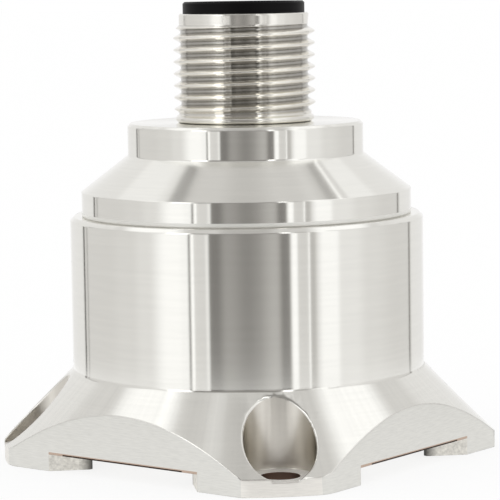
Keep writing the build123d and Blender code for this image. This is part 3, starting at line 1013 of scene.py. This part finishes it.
class SENSOR_OT_inside(bpy.types.Operator):
    """Dress the pieces inside the housing"""

    bl_idname = "sensor.inside"
    bl_label = "Pieces inside"

    def execute(self, context):
        # By slot: how it is made, its name, its colour, its roughness and its grain's width
        recipes = {
            # A soft grey gloss with a breath of yellow
            "plated_shell": (plain_metal, "nickel plated nut", "CFCBC2", 0.25, 0.5),
            # Dull black
            "seal_rubber": (moulded_plastic, "moulded nitrile rubber", "161616", 0.6, 0.1),
            # Chalky white with a faint sheen
            "alumina_ceramic": (moulded_plastic, "ground alumina", "E8E6DE", 0.45, 0.05),
            # Dull khaki
            "piezo_ceramic": (moulded_plastic, "lapped piezo ceramic", "9A8F78", 0.5, 0.05),
            # Yellow metal with soft highlights
            "electrode_brass": (plain_metal, "rolled brass", "D8B468", 0.3, 0.4),
            # Grey metal with soft highlights
            "mass_steel": (plain_metal, "turned stainless steel", "A8A8AA", 0.3, 0.3),
            # A brighter and sharper grey than the mass
            "screw_steel": (plain_metal, "bright screw steel", "B8B8BA", 0.25, 0.3),
            # Silvery and slightly blurred, as tin is
            "tinned_steel": (plain_metal, "tinned sheet steel", "C8C8C6", 0.35, 0.6),
            # Deep green under a smooth lacquer
            "circuit_board": (moulded_plastic, "solder masked glass epoxy", "0E5A32", 0.35, 0.2),
            # Tan, as fired
            "capacitor_ceramic": (moulded_plastic, "fired capacitor ceramic", "A88A68", 0.4, 0.1),
            # Milky white with a waxy sheen
            "white_plastic": (moulded_plastic, "machined white nylon", "E4E4E0", 0.5, 0.1),
            # Charcoal with a dull sheen
            "black_insulator": (moulded_plastic, "moulded black epoxy", "202020", 0.5, 0.1),
            # The contacts' warm yellow
            "gold_contact": (plain_metal, "gold flashed pin", "E0B864", 0.2, 0.3),
        }
        finishes = {
            slot: make(name, linear(colour), roughness, grain_mm)
            for slot, (make, name, colour, roughness, grain_mm) in recipes.items()
        }
        for part in frame["record"]["subparts"]:
            finish = finishes.get(part["material_slot"])
            if finish:
                node = frame["nodes"][part["node"]]
                node.data.materials.clear()
                node.data.materials.append(finish)
        return {"FINISHED"}


# The light tent, as the metal sees it. Directions are degrees to the right of the camera, and
# heights are degrees above the horizon. Each panel is laid over the ones before it with its own
# level of light, where 1 is white, and its edges are eased over the softness given.
WALL_LEVEL = 0.71
DARK_CLOTH = "FFFAF4"
ALL_THE_WAY = 100.0
ALL_ROUND = 200.0
SEAM_TOP = 28.0
PANEL_TOP_SOFTNESS = 4.0
# Walls: from and to a direction, top, level, softness of the first edge and of the second
WALL_PANELS = (
    # the seam at the left wall's far end, and the grey cloth in front of it
    (-133.1, -130.7, SEAM_TOP, 0.02, 0.3, 0.3),
    (-127.6, -126.1, SEAM_TOP, 0.42, 0.3, 0.3),
    (-94, -74, ALL_THE_WAY, 0.74, 6.0, 2.0),
    (-76, -50, ALL_THE_WAY, 0.80, 4.0, 4.0),
    # the soft box on the left, with a dark and a bright line at its frame, and the cloth by it
    (-60, -37.9, ALL_THE_WAY, 1.09, 7.0, 0.6),
    (-41, -24, ALL_THE_WAY, 0.74, 3.0, 1.0),
    (-43, -38.0, ALL_THE_WAY, 1.05, 2.0, 0.3),
    (-38.0, -36.8, ALL_THE_WAY, 0.14, 0.3, 0.3),
    (-36.3, -34.4, ALL_THE_WAY, 1.22, 0.3, 0.3),
    (-26.6, -24.8, ALL_THE_WAY, 0.95, 0.4, 0.4),
    # the opening for the camera, with a darker edge on each side
    (-24.4, 27.0, ALL_THE_WAY, 0.36, 0.4, 1.2),
    (-24.2, -16.5, ALL_THE_WAY, 0.22, 0.4, 3.5),
    (-6.0, 6.0, ALL_THE_WAY, 0.27, 6.0, 6.0),
    (12.0, 20.0, ALL_THE_WAY, 0.48, 5.0, 2.0),
    (21.5, 27.5, ALL_THE_WAY, 0.24, 1.5, 1.2),
    # the cloth on the right, with its bright and dark folds
    (27.5, 100.0, ALL_THE_WAY, 0.78, 1.0, 12.0),
    (60.5, 79.0, ALL_THE_WAY, 0.87, 1.5, 6.0),
    (32.0, 44.0, ALL_THE_WAY, 0.71, 0.7, 1.5),
    (28.3, 32.2, ALL_THE_WAY, 1.12, 0.6, 0.5),
    (40.6, 44.4, ALL_THE_WAY, 0.53, 0.3, 1.8),
    (39.4, 40.5, ALL_THE_WAY, 1.15, 0.25, 0.25),
    # the soft box on the right, and the seam at the right wall's far end
    (47.0, 61.0, ALL_THE_WAY, 1.07, 3.0, 2.0),
    (128.9, 131.3, SEAM_TOP, 0.26, 0.4, 0.4),
)
# Panels on both sides alike, whose directions count from the camera either way: from and to a
# direction, from and to a height, level and softness. The next two lists have the same columns.
BACK_PANELS = (
    # the back wall and its lighter middle
    (133, ALL_ROUND, -90, 90, 0.84, 1.5),
    (163, ALL_ROUND, -90, 90, 0.92, 6.0),
    # the roof, darker further up
    (0, ALL_ROUND, 45, ALL_THE_WAY, 0.80, 3.0),
    (0, ALL_ROUND, 63, ALL_THE_WAY, 0.67, 3.0),
    # lamps and light cloths under the roof
    (84, 125, 46, 67, 1.13, 3.5),
    (130, ALL_ROUND, 38, 56.5, 0.94, 2.5),
    (38, 66, 73.5, 78.5, 0.86, 2.0),
    # the roof's middle
    (0, ALL_ROUND, 79, ALL_THE_WAY, 0.50, 1.5),
)
# Small panels behind the sensor, on one side each, which show in the cap's cone
HIGH_PANELS = (
    (-150, -126, 60.2, 65.6, 0.27, 1.6),
    (126, 150, 54.8, 64.0, 0.64, 1.5),
    (126, 150, 54.8, 59.2, 0.40, 1.5),
    (126, 150, 50.8, 53.4, 0.70, 0.8),
    (126, 150, 53.5, 54.4, 1.40, 0.25),
)
# Strips behind the sensor that a round part shows as upright columns, whatever its slope. Their
# directions are those of the part's own surface, to the right of the camera.
COLUMN_PANELS = (
    (-26.4, -18.3, 20, 60, 1.90, 1.0),
    (-18.3, 10.5, 20, 64, 0.28, 1.2),
    (10.8, 13.8, 20, 64, 1.80, 0.6),
    (14.5, 19.5, 20, 62, 0.48, 0.8),
    (22.8, 26.2, 20, 60, 1.15, 0.8),
)


def soft_span(tree, value, start, end, soft_start, soft_end):
    """A mask, 1 between two angles and 0 outside, that eases over each edge's softness."""
    rise = add_node(
        tree,
        "ShaderNodeMapRange",
        {
            "Value": value,
            "From Min": math.radians(start - soft_start),
            "From Max": math.radians(start + soft_start),
        },
        interpolation_type="SMOOTHSTEP",
    )
    fall = add_node(
        tree,
        "ShaderNodeMapRange",
        {
            "Value": value,
            "From Min": math.radians(end - soft_end),
            "From Max": math.radians(end + soft_end),
            "To Min": 1.0,
            "To Max": 0.0,
        },
        interpolation_type="SMOOTHSTEP",
    )
    both = add_node(
        tree, "ShaderNodeMath", {0: rise.outputs[0], 1: fall.outputs[0]}, operation="MULTIPLY"
    )
    return both.outputs[0]


def tent_directions(tree):
    """A reflection's direction as angles: round Z from the camera, up from the horizon, and
    round Z to the normal of the face that sends it to the camera.

    The direction is first turned so that the camera lies towards -Y. A mirror's normal lies
    halfway between the direction of the reflection and the direction of the camera, whose
    level part is as long as the cosine of the camera's pitch. So the normal's level part lies
    along the sum of the two."""
    direction = add_node(tree, "ShaderNodeTexCoord").outputs["Generated"]
    turned = add_node(
        tree,
        "ShaderNodeVectorRotate",
        {"Vector": direction, "Angle": -CAMERA_AZIMUTH},
        rotation_type="Z_AXIS",
    )
    x, y, z = add_node(tree, "ShaderNodeSeparateXYZ", {0: turned.outputs[0]}).outputs
    height = add_node(tree, "ShaderNodeMath", {0: z}, operation="ARCSINE")
    angles = []
    for camera_part in (0.0, math.cos(CAMERA_PITCH)):
        towards = add_node(tree, "ShaderNodeMath", {0: camera_part, 1: y}, operation="SUBTRACT")
        angle = add_node(tree, "ShaderNodeMath", {0: x, 1: towards.outputs[0]}, operation="ARCTAN2")
        angles.append(angle.outputs[0])
    return angles[0], height.outputs[0], angles[1]


def make_tent():
    """The world's tree, and the level of light that a reflection meets in its direction: each
    panel is laid over the wall's plain level where the panel's mask is 1."""
    world = bpy.data.worlds.new("light tent")
    bpy.context.scene.world = world
    world.use_nodes = True
    tree = world.node_tree
    tree.nodes.clear()
    around, height, column = tent_directions(tree)
    either_way = add_node(tree, "ShaderNodeMath", {0: around}, operation="ABSOLUTE").outputs[0]
    masks = []
    for start, end, top, level, soft_start, soft_end in WALL_PANELS:
        mask = soft_span(tree, around, start, end, soft_start, soft_end)
        if top < ALL_THE_WAY:
            below = soft_span(
                tree, height, -ALL_THE_WAY, top, PANEL_TOP_SOFTNESS, PANEL_TOP_SOFTNESS
            )
            mask = add_node(
                tree, "ShaderNodeMath", {0: mask, 1: below}, operation="MULTIPLY"
            ).outputs[0]
        masks.append((mask, level))
    for panels, turn in ((BACK_PANELS, either_way), (HIGH_PANELS, around), (COLUMN_PANELS, column)):
        for start, end, low, high, level, soft in panels:
            sides = soft_span(tree, turn, start, end, soft, soft)
            heights = soft_span(tree, height, low, high, soft, soft)
            mask = add_node(tree, "ShaderNodeMath", {0: sides, 1: heights}, operation="MULTIPLY")
            masks.append((mask.outputs[0], level))
    light = WALL_LEVEL
    for mask, level in masks:
        light = add_node(
            tree, "ShaderNodeMix", {0: mask, 2: light, 3: level}, data_type="FLOAT"
        ).outputs[0]
    return tree, light


def make_floor():
    """A white floor at the feet. The camera and reflections see most of it as white, whatever
    falls on it, and the rest is lit, which keeps the sensor's soft shadow. Reflections see it
    only near the sensor, and past the white paper they see the tent."""
    mesh = bpy.data.meshes.new("studio_floor")
    reach = FLOOR_REACH * MM
    corners = [(-reach, -reach), (reach, -reach), (reach, reach), (-reach, reach)]
    mesh.from_pydata([(x, y, FEET_HEIGHT * MM) for x, y in corners], [], [(0, 1, 2, 3)])
    floor = bpy.data.objects.new("studio_floor", mesh)
    bpy.context.scene.collection.objects.link(floor)
    # White paper with a faint grain of fibres, so even that only the shadow shows on it
    material, tree = new_material("white paper floor")
    place = add_node(tree, "ShaderNodeTexCoord").outputs["Object"]
    fibres = add_node(
        tree, "ShaderNodeTexNoise", {"Vector": place, "Scale": 1 / (FIBRE_WIDTH * MM), "Detail": 2.0}
    )
    tone = add_node(
        tree, "ShaderNodeMapRange", {"Value": fibres.outputs[0], "To Min": 0.98, "To Max": 1.0}
    )
    paper = add_node(tree, "ShaderNodeBsdfDiffuse", {"Color": tone.outputs[0]})
    white = add_node(tree, "ShaderNodeEmission", {"Color": (1, 1, 1, 1), "Strength": 1.0})
    path = add_node(tree, "ShaderNodeLightPath")
    seen = add_node(
        tree,
        "ShaderNodeMath",
        {0: path.outputs["Is Camera Ray"], 1: path.outputs["Is Glossy Ray"]},
        operation="MAXIMUM",
    )
    share = add_node(
        tree, "ShaderNodeMath", {0: seen.outputs[0], 1: WHITE_SHARE}, operation="MULTIPLY"
    )
    near = add_node(
        tree,
        "ShaderNodeMixShader",
        {0: share.outputs[0], 1: paper.outputs[0], 2: white.outputs[0]},
    )
    distance = add_node(tree, "ShaderNodeVectorMath", {0: place}, operation="LENGTH")
    far = add_node(
        tree,
        "ShaderNodeMapRange",
        {
            "Value": distance.outputs["Value"],
            "From Min": WHITE_PAPER_RADIUS * MM,
            "From Max": (WHITE_PAPER_RADIUS + WHITE_PAPER_FADE) * MM,
        },
        interpolation_type="SMOOTHSTEP",
    )
    gone = add_node(
        tree,
        "ShaderNodeMath",
        {0: far.outputs[0], 1: path.outputs["Is Glossy Ray"]},
        operation="MULTIPLY",
    )
    clear = add_node(tree, "ShaderNodeBsdfTransparent")
    mixed = add_node(
        tree, "ShaderNodeMixShader", {0: gone.outputs[0], 1: near.outputs[0], 2: clear.outputs[0]}
    )
    mesh.materials.append(finish_material(material, tree, mixed))


def make_camera():
    """A camera on a circle round the sensor. Its axes come from a yaw and a pitch off the line
    to the axis, then a roll, and all of it is turned about Z to the camera's azimuth."""
    data = bpy.data.cameras.new("camera")
    data.sensor_width = SENSOR_WIDTH
    data.lens = FOCAL_LENGTH_PX * SENSOR_WIDTH / IMAGE_WIDTH_PX
    data.clip_start = CAMERA_CLIP_START * MM
    data.clip_end = CAMERA_CLIP_END * MM
    camera = bpy.data.objects.new("camera", data)
    bpy.context.scene.collection.objects.link(camera)
    forward = Vector((
        math.sin(CAMERA_YAW) * math.cos(CAMERA_PITCH),
        math.cos(CAMERA_YAW) * math.cos(CAMERA_PITCH),
        math.sin(CAMERA_PITCH),
    ))
    level_right = forward.cross(Vector((0, 0, 1))).normalized()
    level_up = level_right.cross(forward)
    right = math.cos(CAMERA_ROLL) * level_right - math.sin(CAMERA_ROLL) * level_up
    up = math.sin(CAMERA_ROLL) * level_right + math.cos(CAMERA_ROLL) * level_up
    axes = Matrix((right, up, -forward)).transposed().to_4x4()
    place = Matrix.Translation((0, -CAMERA_DISTANCE * MM, CAMERA_HEIGHT * MM))
    camera.matrix_world = Matrix.Rotation(CAMERA_AZIMUTH, 4, "Z") @ place @ axes
    bpy.context.scene.camera = camera
    bpy.context.scene.view_settings.view_transform = "Standard"


class SENSOR_OT_stage(bpy.types.Operator):
    """Make the light tent, the floor and the camera"""

    bl_idname = "sensor.stage"
    bl_label = "Stage"

    def execute(self, context):
        tree, light = make_tent()
        # Dim parts of the tent are slightly warm, and white ones are plain
        warmth = add_node(
            tree,
            "ShaderNodeMix",
            {0: light, 6: linear(DARK_CLOTH), 7: (1, 1, 1, 1)},
            data_type="RGBA",
            clamp_factor=True,
        )
        tent_light = add_node(
            tree, "ShaderNodeBackground", {"Color": warmth.outputs[2], "Strength": light}
        )
        plain_light = add_node(
            tree, "ShaderNodeBackground", {"Color": (1, 1, 1, 1), "Strength": 1.0}
        )
        # Reflections meet the tent, and everything else is lit evenly and in white
        path = add_node(tree, "ShaderNodeLightPath")
        mixed = add_node(
            tree,
            "ShaderNodeMixShader",
            {0: path.outputs["Is Glossy Ray"], 1: plain_light.outputs[0], 2: tent_light.outputs[0]},
        )
        output = add_node(tree, "ShaderNodeOutputWorld")
        tree.links.new(mixed.outputs[0], output.inputs["Surface"])
        make_floor()
        make_camera()
        return {"FINISHED"}


class SENSOR_PT_panel(bpy.types.Panel):
    """Lists the sensor's operators and settings in the sidebar"""

    bl_idname = "SENSOR_PT_panel"
    bl_label = "Vibration sensor"
    bl_space_type = "VIEW_3D"
    bl_region_type = "UI"
    bl_category = "Sensor"

    def draw(self, context):
        column = self.layout.column()
        for operator in OPERATORS:
            column.operator(operator.bl_idname)
        for group in (context.scene.sensor_housing, context.scene.sensor_thread):
            for name in group.bl_rna.properties.keys():
                if name not in ("rna_type", "name"):
                    column.prop(group, name)


OPERATORS = (SENSOR_OT_housing, SENSOR_OT_connector, SENSOR_OT_inside, SENSOR_OT_stage)
CLASSES = (SensorHousingSettings, SensorThreadSettings, *OPERATORS, SENSOR_PT_panel)


def register():
    """Registers the classes, and keeps the settings with the scene."""
    for item in CLASSES:
        bpy.utils.register_class(item)
    bpy.types.Scene.sensor_housing = PointerProperty(type=SensorHousingSettings)
    bpy.types.Scene.sensor_thread = PointerProperty(type=SensorThreadSettings)


def unregister():
    """Takes back what register did."""
    del bpy.types.Scene.sensor_thread
    del bpy.types.Scene.sensor_housing
    for item in reversed(CLASSES):
        bpy.utils.unregister_class(item)


def main():
    """Makes the sensor's looks and its stage."""
    register()
    bpy.ops.sensor.housing()
    bpy.ops.sensor.connector()
    bpy.ops.sensor.inside()
    bpy.ops.sensor.stage()


if __name__ == "__main__":
    main()
